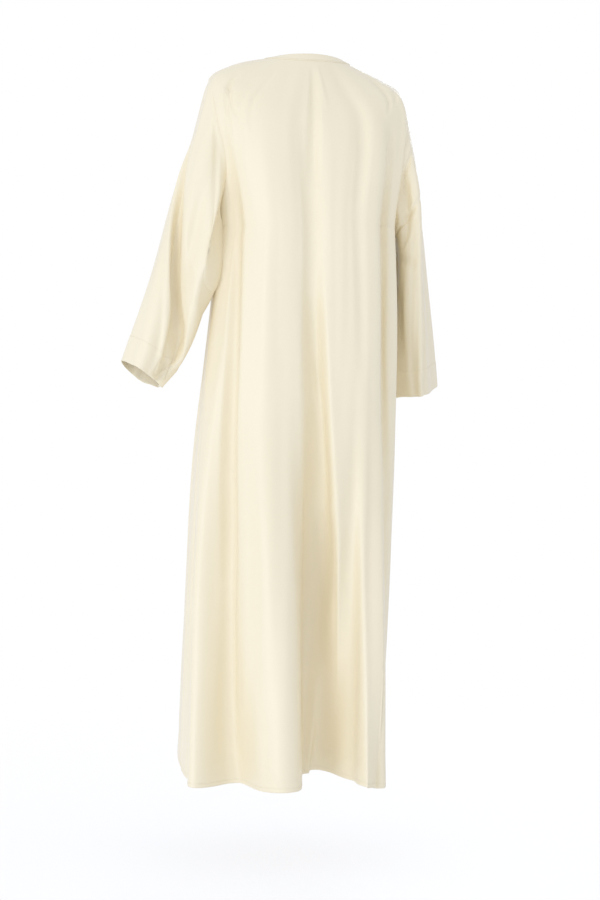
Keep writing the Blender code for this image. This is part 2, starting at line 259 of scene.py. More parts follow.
# Main folds of the sleeves. A share is of the way round from the top, and depths are at the stations down it
SLEEVE_FOLD_COLUMNS = "from_share  to_share  depth_top  depth_upper  depth_elbow  depth_cuff  wide"
SLEEVE_STATIONS = (0.0, 0.3, 0.6, 1.0)
LEFT_SLEEVE_FOLDS = table(
    SLEEVE_FOLD_COLUMNS,
    [
        (-0.10, 0.22, 0.000, 0.003, 0.008, 0.008, 0.10),
        (-0.20, 0.47, 0.000, -0.004, -0.010, -0.010, 0.085),
        (0.22, 0.44, 0.000, 0.004, 0.006, 0.006, 0.09),
        (0.38, 0.40, 0.000, 0.060, 0.026, -0.008, 0.15),
        (0.72, 0.70, 0.000, -0.006, -0.008, -0.006, 0.10),
    ],
)
RIGHT_SLEEVE_FOLDS = table(
    SLEEVE_FOLD_COLUMNS,
    [
        (0.21, 0.24, 0.000, 0.006, 0.009, 0.010, 0.08),
        (0.08, 0.10, 0.000, -0.003, -0.006, -0.004, 0.08),
        (0.70, 0.72, 0.000, -0.006, -0.008, -0.006, 0.10),
    ],
)

# Soft creases, each from one end to the other. Bend bows it sideways, and lean makes the side of the higher
# place wider and the other side narrower. On the body place, bend and half width are in degrees of turn and
# the rest in metres. On a sleeve they are shares of the way round, and run is the share of the way down.
CREASE_COLUMNS = "from_place  from_run  to_place  to_run  bend  depth  wide  lean"
BODY_CREASES = table(
    CREASE_COLUMNS,
    [
        (43, -0.050, 46, -0.200, 0.0, -0.0030, 5.5, 0.0),
        (58, -0.040, 51, -0.160, 0.0, -0.0024, 3.0, 0.0),
        (37, -0.030, 38, -0.150, 0.0, -0.0018, 3.5, 0.0),
        (54, -0.160, 56, -0.560, 0.5, -0.0050, 7.0, 0.0),
        (55, -0.360, 49, -1.020, 0.0, -0.0140, 8.0, 0.0),
        (49, -0.820, 48, -1.440, 0.0, -0.0086, 7.5, 0.0),
        (0.5, -0.020, 3.0, -0.260, 0.5, -0.0072, 5.5, 0.0),
        (4.5, -0.130, 4.0, -0.660, 0.0, -0.0120, 10.0, -0.2),
        (5.5, -0.400, -5.5, -1.080, 0.0, -0.0160, 10.0, 0.1),
        (2.5, -0.460, -4.0, -1.200, 0.0, -0.0170, 7.5, 0.1),
        (-4.0, -0.880, -11.0, -1.700, -1.0, -0.0230, 12.0, 0.0),
        (-19, -0.900, -19, -1.700, 0.0, -0.0080, 9.0, 0.0),
        (-31, -0.860, -31, -1.700, 0.0, -0.0060, 6.5, 0.0),
        (-5.5, -0.020, -6.0, -0.110, 0.0, 0.0014, 3.0, 0.0),
        (2.4, -0.575, 0.2, -0.670, 0.0, -0.0026, 2.0, 0.0),
        (-26, -0.080, -25, -0.300, -1.0, -0.0042, 6.0, 0.0),
        (-26, -0.220, -27, -0.640, 0.0, -0.0060, 7.0, 0.0),
        (-38, -0.120, -39, -0.860, 0.0, 0.0076, 7.0, 0.0),
        (-43, -0.120, -49, -0.380, -1.0, -0.0080, 6.5, 0.0),
        (-49, -0.240, -48, -0.840, -1.0, -0.0190, 7.0, 0.0),
        (-62, -0.060, -60, -0.900, 0.0, 0.0070, 6.5, 0.0),
        (-60, -0.020, -58, -0.330, 0.0, 0.0050, 5.5, 0.0),
        (-39, -0.700, -40, -1.700, 0.0, 0.0130, 7.0, 0.0),
        (-52, -0.680, -52, -1.340, -1.0, -0.0050, 5.0, 0.0),
        (-56, -0.040, -43, -0.115, 0.0, -0.0036, 3.0, 0.0),
        (-68, -0.040, -51, -0.095, 0.0, -0.0026, 3.0, 0.0),
        (61, -0.035, 46, -0.125, 0.0, -0.0036, 3.0, 0.0),
        (59, -0.060, 72, -0.330, 0.0, 0.0080, 9.0, 0.0),
        (72, -0.180, 75, -0.700, 0.0, 0.0125, 11.0, 0.0),
        (65, -0.560, 65, -1.200, 1.5, 0.0030, 6.0, 0.0),
        (31, -0.120, 29, -0.700, 2.0, 0.0022, 7.0, 0.0),
        (22, -0.700, 24, -1.360, -1.0, -0.0020, 5.0, 0.0),
        (36, -0.750, 34, -1.380, -2.0, -0.0026, 5.5, 0.0),
        (82, -0.450, 78, -1.250, 2.0, -0.0035, 5.0, 0.0),
        (-14, -0.150, -12, -0.650, -1.0, 0.0016, 5.0, 0.0),
        (-56, -0.850, -56, -1.400, -1.5, -0.0030, 4.0, 0.0),
        (104, -0.350, 106, -1.100, 2.0, -0.0035, 5.0, 0.2),
        (152, -0.250, 154, -0.950, -2.0, 0.0030, 5.0, 0.0),
        (128, -0.300, 131, -0.900, 2.0, -0.0036, 5.0, 0.2),
        (140, -0.110, 146, -0.320, 1.0, -0.0026, 4.5, 0.0),
        (168, -0.140, 170, -0.900, 1.0, 0.0020, 5.0, 0.0),
        (115, -0.620, 112, -1.300, -2.0, 0.0028, 5.0, 0.0),
        (-104, -0.350, -102, -1.200, -2.0, -0.0038, 5.0, -0.2),
        (-131, -0.300, -128, -1.000, 2.0, 0.0030, 5.0, 0.0),
        (-153, -0.250, -150, -0.900, 1.0, -0.0034, 5.0, 0.2),
        (-142, -0.110, -147, -0.330, -1.0, -0.0026, 4.5, 0.0),
        (-169, -0.150, -167, -0.850, -1.0, 0.0020, 5.0, 0.0),
        (-116, -0.600, -118, -1.250, 2.0, 0.0026, 5.0, 0.0),
    ],
)
LEFT_SLEEVE_CREASES = table(
    CREASE_COLUMNS,
    [
        (-0.02, 0.25, 0.76, 1.15, -0.118, -0.0170, 0.056, 0.10),
        (0.28, 0.55, 0.56, 1.40, 0.0, -0.0130, 0.100, 0.0),
        (0.43, 0.02, 0.44, 0.60, 0.0, 0.0090, 0.070, 0.0),
        (0.40, -0.10, 0.42, 0.44, 0.0, 0.0110, 0.080, 0.0),
        (-0.08, 0.22, 0.57, 1.30, -0.015, 0.0040, 0.045, 0.0),
        (0.125, -0.05, 0.12, 0.42, 0.0, -0.0024, 0.045, 0.0),
        (0.20, 0.02, 0.33, 0.34, 0.010, -0.0034, 0.045, 0.0),
        (0.29, 0.14, 0.37, 0.62, 0.0, -0.0040, 0.060, 0.0),
        (0.43, 0.10, 0.46, 0.60, -0.010, 0.0030, 0.040, 0.0),
        (0.60, 0.08, 0.66, 0.90, 0.010, -0.0042, 0.050, 0.2),
        (0.74, 0.20, 0.72, 1.30, 0.0, 0.0026, 0.050, 0.0),
        (0.86, 0.10, 0.80, 1.20, 0.0, -0.0036, 0.050, -0.2),
    ],
)
RIGHT_SLEEVE_CREASES = table(
    CREASE_COLUMNS,
    [
        (0.200, 0.10, 0.270, 1.30, -0.045, -0.0090, 0.030, -0.2),
        (0.240, 0.10, 0.310, 1.30, -0.045, 0.0036, 0.034, 0.0),
        (0.420, 0.56, 0.380, 1.40, 0.0, -0.0045, 0.090, 0.0),
        (0.30, -0.12, 0.34, 0.34, 0.0, -0.0100, 0.060, 0.0),
        (0.34, -0.02, 0.13, 0.20, 0.0, -0.0034, 0.034, 0.0),
        (0.46, 0.12, 0.20, 0.34, 0.0, -0.0044, 0.038, 0.0),
        (0.44, 0.30, 0.27, 0.52, 0.0, -0.0030, 0.040, 0.0),
        (0.42, 0.46, 0.40, 0.80, 0.0, -0.0040, 0.060, 0.0),
        (0.38, -0.05, 0.40, 0.55, 0.0, 0.0060, 0.120, 0.0),
        (0.60, 0.10, 0.64, 0.95, 0.0, -0.0042, 0.045, 0.2),
        (0.75, 0.20, 0.73, 1.30, 0.0, 0.0026, 0.050, 0.0),
        (0.88, 0.08, 0.82, 1.20, 0.0, -0.0036, 0.050, -0.2),
    ],
)

# Long, shallow waves that keep the cloth from being too even: waves round, waves down, phase, height
BODY_WAVES = table(
    "round  down  phase  height",
    [(5, 1.1, 0.4, 0.0011), (9, -1.4, 2.0, 0.0009), (14, 0.9, 4.1, 0.0006), (23, -1.8, 1.2, 0.00035)],
)
SLEEVE_WAVES = table(
    "round  down  phase  height",
    [(2, 2.1, 1.4, 0.0012), (3, -1.4, 0.3, 0.0010), (5, 1.9, 3.1, 0.0006), (8, -2.6, 5.2, 0.0003)],
)


def smooth(at, knots, values):
    """Cubic curve through the knots, with each slope taken from the neighbours, held level outside them."""
    at = np.clip(at, knots[0], knots[-1])
    slopes = np.gradient(values, knots)
    cell = np.clip(np.searchsorted(knots, at, side="right") - 1, 0, len(knots) - 2)
    span = knots[cell + 1] - knots[cell]
    t = (at - knots[cell]) / span
    return (
        values[cell] * (1 + 2 * t) * (1 - t) ** 2
        + values[cell + 1] * t**2 * (3 - 2 * t)
        + span * t * (1 - t) * (slopes[cell] * (1 - t) - slopes[cell + 1] * t)
    )


def round_and_round(share, ring):
    """A point of a closed ring whose table gives x, y and z against share, from 0 to 1 round it."""
    knots = np.concatenate([ring["share"] - 1, ring["share"], ring["share"] + 1])
    return np.stack([smooth(share, knots, np.tile(ring[axis], 3)) for axis in "xyz"], axis=-1)


def bell(distance):
    """(1 - d^2)^2.5: one at no distance, falling smoothly to nothing at distance one."""
    return np.clip(1 - distance**2, 0, 1) ** 2.5


def ease(t):
    """Rises smoothly from 0 to 1 as t does."""
    t = np.clip(t, 0, 1)
    return t * t * (3 - 2 * t)


def unit(vectors):
    """Vectors of length one in the same directions."""
    return vectors / np.maximum(np.linalg.norm(vectors, axis=-1, keepdims=True), 1e-12)


def fold_push(turn, z):
    """How far the folds push the cloth out of the plain form, and how far they slide it sideways.

    Each fold is a bell round its own turn, times its depth at that height. Its slide is its push's size times
    its lean.
    """
    heights = np.array(FOLD_HEIGHTS[::-1])
    start = np.clip((FOLD_START - z) / (FOLD_START - FOLD_HEIGHTS[0]), 0, 1)
    push = np.zeros(np.broadcast(turn, z).shape)
    slide = push.copy()
    for row in zip(*FOLDS.values()):
        turns, depths, widths = (np.array(row[i : i + 4][::-1]) for i in (0, 4, 8))
        away = turn - smooth(z, heights, turns)
        away = (away + 180) % 360 - 180
        stand = start * smooth(z, heights, depths) * bell(away / smooth(z, heights, widths))
        push += stand
        slide += row[-1] * np.abs(stand)
    return push, slide


def form(turn, level):
    """A point of the body's plain cloth: a squared ellipse in each quarter of a loop, moved by the folds.

    The ellipse's radius at a turn is (|sin|^p + |cos|^p)^(-1/p) of its reach, where p is how square it is.
    """
    sine, cosine = np.sin(np.radians(turn)), np.cos(np.radians(turn))
    upper = np.minimum(level, CHEST)
    yoke = {name: smooth(upper, YOKE["level"], column) for name, column in YOKE.items()}
    side_z = np.where(sine > 0, yoke["left_z"], yoke["right_z"])
    middle_z = np.where(cosine > 0, yoke["back_z"], yoke["front_z"])
    below = np.clip(level - CHEST, 0, HEM - CHEST)
    hem = smooth((turn + 180) % 360 - 180, HEM_LINE["turn"], HEM_LINE["z"])
    z = side_z * sine**2 + middle_z * cosine**2 + below * (hem - SKIRT["z"][0])
    knots = SKIRT["z"][::-1]
    skirt = {name: smooth(z, knots, column[::-1]) for name, column in SKIRT.items()}
    reach = {name: np.where(level > CHEST, skirt[name], yoke[name]) for name in skirt if name != "z"}
    wide = np.where(sine > 0, reach["left"], reach["right"])
    deep = np.where(cosine > 0, reach["back"], reach["front"])
    power = reach["square"]
    corner = (np.abs(sine) ** power + np.abs(cosine) ** power) ** (-1 / power)
    across, ahead = sine / wide, cosine / deep
    steep = np.hypot(across, ahead)
    across, ahead = across / steep, ahead / steep
    push, slide = fold_push(turn, z)
    x = wide * sine * corner + push * across + slide * ahead
    y = deep * cosine * corner + push * ahead - slide * across
    return np.stack([x, y, z + TAKE_UP * push**2], axis=-1)


def form_frame(turn, level):
    """The form's points, its outward normals and its downward directions, by small steps both ways."""
    turn, level = np.broadcast_arrays(turn, level)
    down = form(turn, np.minimum(level + STEP, HEM)) - form(turn, np.maximum(level - STEP, 0))
    around = form(turn + TURN_STEP, level) - form(turn - TURN_STEP, level)
    return form(turn, level), unit(np.cross(around, down)), unit(down)


def crease_push(place, run, creases, whole):
    """How far the creases stand out: a bell across each line, lopsided by its lean, that fades at both ends.

    Place goes round, and comes back to itself after a whole. Run goes down.
    """
    push = np.zeros(np.broadcast(place, run).shape)
    for from_place, from_run, to_place, to_run, bend, depth, wide, lean in zip(*creases.values()):
        along = np.clip((run - from_run) / (to_run - from_run), 0, 1)
        middle = from_place + (to_place - from_place) * along + bend * np.sin(np.pi * along)
        away = (place - middle + whole / 2) % whole - whole / 2
        reach = wide * (1 + lean * np.sign(away))
        push += depth * bell(away / reach) * np.sin(np.pi * along) ** CREASE_FADE
    return push


def wave_push(share, run, waves):
    """How far the waves stand out: a sum of sines of the share of the way round and the run down."""
    push = np.zeros(np.broadcast(share, run).shape)
    for count, down, phase, height in zip(*waves.values()):
        push += height * np.sin(2 * np.pi * (count * share + down * run) + phase)
    return push


def cloth_place(turn, level, lift=0.0):
    """A point of the body's cloth with its creases, lifted off by a distance, its normal and its way down."""
    points, normals, down = form_frame(turn, level)
    z = points[..., 2]
    fade = ease(level / WAVE_START)
    push = crease_push(turn, z, BODY_CREASES, 360.0)
    push = push + fade * wave_push(turn / 360.0, z, BODY_WAVES)
    return points + normals * (push + lift)[..., None], normals, down


def armhole_cut(level, cut):
    """How many degrees the armhole takes off a panel's side at a level, rounded at both of its ends."""
    way_down = np.clip((level - SHOULDER) / (CHEST - SHOULDER), 0, 1)
    return cut * np.sin(np.pi * way_down) ** ARMHOLE_ROUNDNESS


def arc_lengths(points, axis):
    """Lengths along the rows or columns of a grid, from their start."""
    step = np.linalg.norm(np.diff(points, axis=axis), axis=-1)
    width = [(0, 0), (0, 0)]
    width[axis] = (1, 0)
    return np.pad(np.cumsum(step, axis=axis), width)


def hem_lift(distance, depth, stitch):
    """A turned edge's relief on the outside: a low step where the turning ends, and a sunk stitch line."""
    step = HEM_STEP * ease((depth + 0.002 - distance) / 0.004)
    groove = STITCH_GROOVE * np.exp(-(((distance - stitch) / GROOVE_WIDTH) ** 2))
    return step - groove


def turned_rows(depth, stitch):
    """Distances from an edge and lifts for rows that end at a turned edge and go back up on the inside.

    Rows are close together at the stitch line, at the end of the turning and at the edge itself.
    """
    marks = np.concatenate([
        np.linspace(depth + 0.010, depth - 0.010, 9),
        np.linspace(stitch + 0.004, stitch - 0.004, 9),
        [0.003, 0.0018, 0.0008, 0.0002],
    ])
    fill = np.arange(stitch + 0.006, depth - 0.012, ROW_SPACING)
    outside = np.unique(np.concatenate([marks, fill]).round(5))[::-1]
    edge_lift = -TURN_GAP * np.array([0.04, 0.25, 0.5, 0.75, 0.96])
    edge = np.array([0.0, -0.0004, -0.0006, -0.0004, 0.0])
    inside = np.linspace(0.001, depth, INSIDE_ROWS)
    distance = np.concatenate([outside, edge, inside])
    lift = np.concatenate([hem_lift(outside, depth, stitch), edge_lift, np.full(INSIDE_ROWS, -TURN_GAP)])
    return distance, lift


def stitched_row(depth, stitch):
    """Which of the turned rows lies on the outside at the stitch line."""
    distance, _ = turned_rows(depth, stitch)
    return int(np.argmin(np.abs(distance[:-INSIDE_ROWS] - stitch)))


def body_rows():
    """Levels of the rows and how far each is lifted, with the hem's turning at the end."""
    yoke = np.linspace(0, SHOULDER, YOKE_ROWS, endpoint=False)
    armhole = SHOULDER + (1 - np.cos(np.pi * np.arange(ARMHOLE_ROWS) / ARMHOLE_ROWS)) / 2
    distance, lift = turned_rows(HEM_DEPTH, HEM_STITCH)
    skirt = np.linspace(CHEST, HEM - (distance[0] + 0.004) / SKIRT_LENGTH, SKIRT_ROWS)
    hem = HEM - distance / SKIRT_LENGTH
    return np.concatenate([yoke, armhole, skirt, hem]), np.concatenate([np.zeros(HEM_START), lift])


def below_hem(levels):
    """How far rows lie past the hem's edge, in metres, which is where the cloth folds over."""
    return np.maximum(levels - HEM, 0) * SKIRT_LENGTH


def panel(turn, levels, lift):
    """A panel's grid: columns of turn, rows of level, with sunk seams and a turned hem."""
    level = np.minimum(levels, HEM)[:, None]
    points, normals, down = cloth_place(turn, level, lift)
    return points + down * below_hem(levels)[:, None, None], normals


def seam_lift(points, both=True):
    """The dip of the cloth towards the seams at the sides of a grid."""
    arc = arc_lengths(points, 1)
    near = np.minimum(arc, arc[:, -1:] - arc) if both else arc
    return -SEAM_DIP * np.exp(-((near / SEAM_WIDTH) ** 2))


def edge_shares(count, start, end, length):
    """Shares from 0 to 1, with extra ones close to the ends that lie on a seam."""
    marks = [np.linspace(0, 1, count + 1)]
    if start:
        marks.append(EDGE_STEPS / length)
    if end:
        marks.append(1 - EDGE_STEPS / length)
    shares = np.unique(np.concatenate(marks).round(6))
    return shares[np.concatenate([[True], np.diff(shares) > 0.0009 / length])]


def back_panel():
    """The back from its left side seam to its right one, cut in at the armholes."""
    levels, row_lift = body_rows()
    reach = 90 - armhole_cut(np.minimum(levels, HEM), ARMHOLE_CUT_BACK)[:, None]
    share = edge_shares(BACK_COLUMNS, True, True, BACK_WIDTH)
    turn = (1 - 2 * share) * reach
    plain, _ = panel(turn, levels, np.zeros(turn.shape))
    return panel(turn, levels, row_lift[:, None] + seam_lift(plain))


def front_panel(side):
    """A front from its side seam to the opening, with the opening's edge turned under. Side is 1 or -1."""
    levels, row_lift = body_rows()
    level = np.minimum(levels, HEM)[:, None]
    start = 90 + armhole_cut(level, ARMHOLE_CUT_FRONT)
    opening = np.clip(level - SHOULDER, 0, None) / (HEM - SHOULDER)
    end = 180 - FRONT_GAP_NECK - (FRONT_GAP_HEM - FRONT_GAP_NECK) * opening
    share = edge_shares(FRONT_COLUMNS, True, False, FRONT_WIDTH)
    degrees = FACING_DEPTH / METRES_PER_DEGREE
    turn = np.concatenate([start + share * (end - start), end - FACING_SHARES * degrees], axis=1)
    column_lift = np.concatenate([np.zeros(len(share)), np.full(len(FACING_SHARES), -TURN_GAP)])
    column_lift[len(share)] = -TURN_GAP / 2
    plain, _ = panel(side * turn, levels, np.zeros(turn.shape))
    lift = row_lift[:, None] + seam_lift(plain, both=False) + column_lift
    points, normals = panel(side * turn, levels, lift)
    return (points[:, ::-1], normals[:, ::-1]) if side > 0 else (points, normals)


def sleeve_push(share, t, folds):
    """How far a sleeve's folds push it out, at a share of the way round and a share t of the way down."""
    stations = np.array(SLEEVE_STATIONS)
    push = np.zeros(np.broadcast(share, t).shape)
    for from_share, to_share, *depths, wide in zip(*folds.values()):
        away = share - (from_share + (to_share - from_share) * t)
        away = (away + 0.5) % 1 - 0.5
        push += smooth(t, stations, np.array(depths)) * bell(away / wide)
    return push


def sleeve(side, armhole, cuff, run, folds, creases):
    """A sleeve's grid, from the top round the back and the underarm, and from the armhole to the turned cuff.

    A cubic curve leaves each point of the armhole in one direction and reaches the same share of the cuff in
    another. Folds, creases and waves push it out, and it rises from the sunk armhole seam.
    """
    share = np.arange(len(armhole)) / len(armhole)
    top = ((1 + np.cos(2 * np.pi * share)) / 2)[:, None]
    ways = np.stack([run[axis] for axis in "xyz"], axis=-1)
    leave = top * ways[TOP_START] + (1 - top) * ways[UNDER_START]
    arrive = top * ways[TOP_END] + (1 - top) * ways[UNDER_END]
    distance, lift = turned_rows(CUFF_DEPTH, CUFF_STITCH)
    speed = np.linalg.norm(arrive, axis=1)
    hem = 1 - distance[:, None] / speed
    main = np.concatenate([SLEEVE_START, np.linspace(0.021, 1, SLEEVE_ROWS)])[:, None] * (hem[0] - 0.006)
    t = np.concatenate([main, hem])
    inner = np.minimum(t, 1)

    def plain(at):
        """The sleeve with its main folds alone."""
        way = at[..., None]
        points = (
            armhole * (1 + 2 * way) * (1 - way) ** 2
            + round_and_round(share, cuff) * way**2 * (3 - 2 * way)
            + leave * way * (1 - way) ** 2
            - arrive * way**2 * (1 - way)
        )
        outward = unit(points - points.mean(axis=1, keepdims=True))
        return points + outward * sleeve_push(share, at, folds)[..., None]

    down = plain(np.minimum(inner + STEP, 1)) - plain(np.maximum(inner - STEP, 0))
    points = plain(inner)
    around = np.roll(points, -1, axis=1) - np.roll(points, 1, axis=1)
    normals = unit(np.cross(around, down))
    normals *= np.sign((normals * (points - points.mean(axis=1, keepdims=True))).sum(-1).mean())
    points += unit(arrive) * (np.maximum(t - 1, 0) * speed)[..., None]
    rise = np.exp(-((inner * SLEEVE_LENGTH / SEAM_WIDTH) ** 2))
    seam = np.exp(-((np.abs(share - 0.5) * SLEEVE_GIRTH / SEAM_WIDTH) ** 2))
    detail = crease_push(share, inner, creases, 1.0) + wave_push(share, inner, SLEEVE_WAVES)
    detail = (detail + SLEEVE_RISE) * ease(inner / SLEEVE_EASE) * (1 - rise)
    detail -= UNDERARM_DIP * seam * (1 - rise)
    detail[len(main):] += lift[:, None]
    points += normals * detail[..., None]
    return (points, normals) if side > 0 else (points[:, ::-1], normals[:, ::-1])


def cloth_piece(name, points, closed, material):
    """One surface of cloth on a grid of points, with a UV map in metres along and across the grain."""
    if closed:
        points = np.concatenate([points, points[:, :1]], axis=1)
    rows, columns, _ = points.shape
    index = np.arange(rows * columns).reshape(rows, columns)
    if closed:
        index[:, -1] = index[:, 0]
    corners = [index[:-1, :-1], index[1:, :-1], index[1:, 1:], index[:-1, 1:]]
    faces = np.stack(corners, axis=-1).reshape(-1, 4)
    across = arc_lengths(points, 1)
    across -= across[:, columns // 2][:, None]
    down = arc_lengths(points, 0)
    uv = np.stack([across, -down], axis=-1)
    uv_corners = [uv[:-1, :-1], uv[1:, :-1], uv[1:, 1:], uv[:-1, 1:]]
    uv_loops = np.stack(uv_corners, axis=2).reshape(-1, 2)
    used, faces = np.unique(faces, return_inverse=True)
    faces = faces.reshape(-1, 4)
    mesh = bpy.data.meshes.new(name)
    mesh.vertices.add(len(used))
    mesh.vertices.foreach_set("co", points.reshape(-1, 3)[used].astype(np.float32).ravel())
    mesh.loops.add(faces.size)
    mesh.loops.foreach_set("vertex_index", faces.astype(np.int32).ravel())
    mesh.polygons.add(len(faces))
    mesh.polygons.foreach_set("loop_start", np.arange(0, faces.size, 4, dtype=np.int32))
    mesh.polygons.foreach_set("loop_total", np.full(len(faces), 4, dtype=np.int32))
    layer = mesh.uv_layers.new(name="grain")
    layer.data.foreach_set("uv", uv_loops.astype(np.float32).ravel())
    mesh.update(calc_edges=True)
    mesh.validate()
    mesh.shade_smooth()
    mesh.materials.append(material)
    thing = bpy.data.objects.new(name, mesh)
    bpy.context.scene.collection.objects.link(thing)
    return thing


def stitches(name, paths, material):
    """Rows of thread stitches: along each path, a spindle of five rings at every pitch.

    A spindle's ring at s from -1 to 1 has radius r * sqrt(1 - s^4) and stands off the cloth by r * (1 - s^2).
    Its end rings keep a small radius, and are closed.
    """
    stations = STITCH_STATIONS
    angles = np.linspace(0, 2 * np.pi, STITCH_SIDES, endpoint=False)
    width = np.sqrt(np.clip(1 - stations**4, 0.05, 1)) * STITCH_RADIUS
    stand = (1 - stations**2) * STITCH_RADIUS
    places = []
    count = 0
    for points, normals in paths:
        arc = np.concatenate([[0], np.cumsum(np.linalg.norm(np.diff(points, axis=0), axis=1))])
        at = np.arange(STITCH_PITCH, arc[-1] - STITCH_PITCH, STITCH_PITCH)
        middle = np.stack([np.interp(at, arc, points[:, i]) for i in range(3)], axis=-1)
        ahead = np.stack([np.interp(at + 0.001, arc, points[:, i]) for i in range(3)], axis=-1)
        along = unit(ahead - middle)
        up = unit(np.stack([np.interp(at, arc, normals[:, i]) for i in range(3)], axis=-1))
        side = np.cross(along, up)
        centre = middle[:, None] + along[:, None] * (stations * STITCH_LENGTH / 2)[:, None]
        centre = centre + up[:, None] * stand[:, None]
        ring = up[:, None, None] * np.sin(angles)[:, None]
        ring = ring + side[:, None, None] * np.cos(angles)[:, None]
        places.append((centre[:, :, None] + ring * width[:, None, None]).reshape(-1, 3))
        count += len(at)
    each = len(stations) * len(angles)
    index = np.arange(each).reshape(len(stations), len(angles))
    turned = np.roll(index, -1, axis=1)
    body = np.stack([index[:-1], index[1:], turned[1:], turned[:-1]], axis=-1).reshape(-1, 4)
    faces = (body[None] + each * np.arange(count)[:, None, None]).reshape(-1, 4).tolist()
    caps = np.stack([index[0], index[-1, ::-1]])
    faces += (caps[None] + each * np.arange(count)[:, None, None]).reshape(-1, len(angles)).tolist()
    mesh = bpy.data.meshes.new(name)
    mesh.from_pydata(np.concatenate(places).tolist(), [], faces)
    mesh.materials.append(material)
    mesh.shade_smooth()
    thing = bpy.data.objects.new(name, mesh)
    bpy.context.scene.collection.objects.link(thing)
    return thing


def neck_band():
    """The neckline's binding: a profile of level, lift and rise, from inside over the edge, carried round."""
    profile = np.array([
        (0.110, -0.0010, 0.0),
        (0.060, -0.0011, 0.0),
        (0.010, -0.0011, 0.0),
        (0.000, -0.0009, 0.0004),
        (0.000, -0.0005, 0.0008),
        (0.000, 0.0000, 0.0010),
        (0.000, 0.0006, 0.0008),
        (0.000, 0.0011, 0.0003),
        (0.010, 0.0013, 0.0),
        (0.030, 0.0014, 0.0),
        (0.060, 0.0014, 0.0),
        (0.085, 0.0014, 0.0),
        (0.095, 0.0011, 0.0),
        (0.101, 0.0013, 0.0),
        (0.108, 0.0012, 0.0),
        (0.111, 0.0008, 0.0),
        (0.112, 0.0001, 0.0),
    ])
    turn = np.linspace(180 - FRONT_GAP_NECK, -180 + FRONT_GAP_NECK, BAND_COLUMNS)
    level, lift, rise = profile[:, :1], profile[:, 1:2], profile[:, 2]
    points, normals, down = cloth_place(turn, level, np.broadcast_to(lift, (len(profile), len(turn))))
    return points - down * rise[:, None, None], normals


def add_node(tree, kind, inputs=None, **settings):
    """Adds a shader node. An input is either another node's output, which is linked to it, or a value."""
    node = tree.nodes.new(kind)
    for name, value in settings.items():
        setattr(node, name, value)
    for name, value in (inputs or {}).items():
        if isinstance(value, bpy.types.NodeSocket):
            tree.links.new(value, node.inputs[name])
        else:
            node.inputs[name].default_value = value
    return node


def crepe_material():
    """Cream crepe: a fine pebbled grain over a plain weave, soft sheen, and slow changes of tone."""
    material = bpy.data.materials.new("cream_crepe")
    material.use_nodes = True
    tree = material.node_tree
    shader = tree.nodes["Principled BSDF"]
    grain = add_node(tree, "ShaderNodeUVMap", uv_map="grain").outputs["UV"]
    place = add_node(tree, "ShaderNodeTexCoord").outputs["Object"]
    slow = add_node(tree, "ShaderNodeTexNoise", {"Vector": place, "Scale": 3.5, "Detail": 2.0})
    fine = add_node(
        tree, "ShaderNodeTexNoise", {"Vector": grain, "Scale": 420.0, "Detail": 3.0, "Roughness": 0.6}
    )
    pebble = add_node(tree, "ShaderNodeTexNoise", {"Vector": grain, "Scale": 1300.0, "Detail": 2.0})
    threads = {"Vector": grain, "Scale": 320.0, "Distortion": 0.6, "Detail": 0.0}
    warp = add_node(tree, "ShaderNodeTexWave", threads)
    weft = add_node(tree, "ShaderNodeTexWave", threads, bands_direction="Y")
    tone = add_node(tree, "ShaderNodeMath", {0: slow.outputs["Fac"], 1: 0.7}, operation="MULTIPLY")
    tone = add_node(
        tree,
        "ShaderNodeMath",
        {0: fine.outputs["Fac"], 1: 0.3, 2: tone.outputs[0]},
        operation="MULTIPLY_ADD",
    )
    ramp = add_node(tree, "ShaderNodeValToRGB", {"Fac": tone.outputs[0]})
    ramp.color_ramp.elements[0].position = 0.3
    ramp.color_ramp.elements[0].color = CREPE_DARK
    ramp.color_ramp.elements[1].position = 0.7
    ramp.color_ramp.elements[1].color = CREPE_LIGHT
    weave = add_node(
        tree, "ShaderNodeMath", {0: warp.outputs["Fac"], 1: weft.outputs["Fac"]}, operation="MULTIPLY"
    )
    height = add_node(
        tree,
        "ShaderNodeMath",
        {0: weave.outputs[0], 1: 0.35, 2: pebble.outputs["Fac"]},
        operation="MULTIPLY_ADD",
    )
    bump = add_node(
        tree, "ShaderNodeBump", {"Height": height.outputs[0], "Strength": 0.35, "Distance": 0.00018}
    )
    tree.links.new(ramp.outputs["Color"], shader.inputs["Base Color"])
    tree.links.new(bump.outputs["Normal"], shader.inputs["Normal"])
    shader.inputs["Roughness"].default_value = 0.45
    shader.inputs["Metallic"].default_value = 0.0
    shader.inputs["Specular IOR Level"].default_value = 0.5
    shader.inputs["Sheen Weight"].default_value = 0.15
    shader.inputs["Sheen Roughness"].default_value = 0.45
    shader.inputs["Sheen Tint"].default_value = (1.0, 0.97, 0.90, 1.0)
    return material


def plain_material(name, colour, roughness):
    """One colour and one roughness."""
    material = bpy.data.materials.new(name)
    material.use_nodes = True
    shader = material.node_tree.nodes["Principled BSDF"]
    shader.inputs["Base Color"].default_value = colour
    shader.inputs["Roughness"].default_value = roughness
    return material


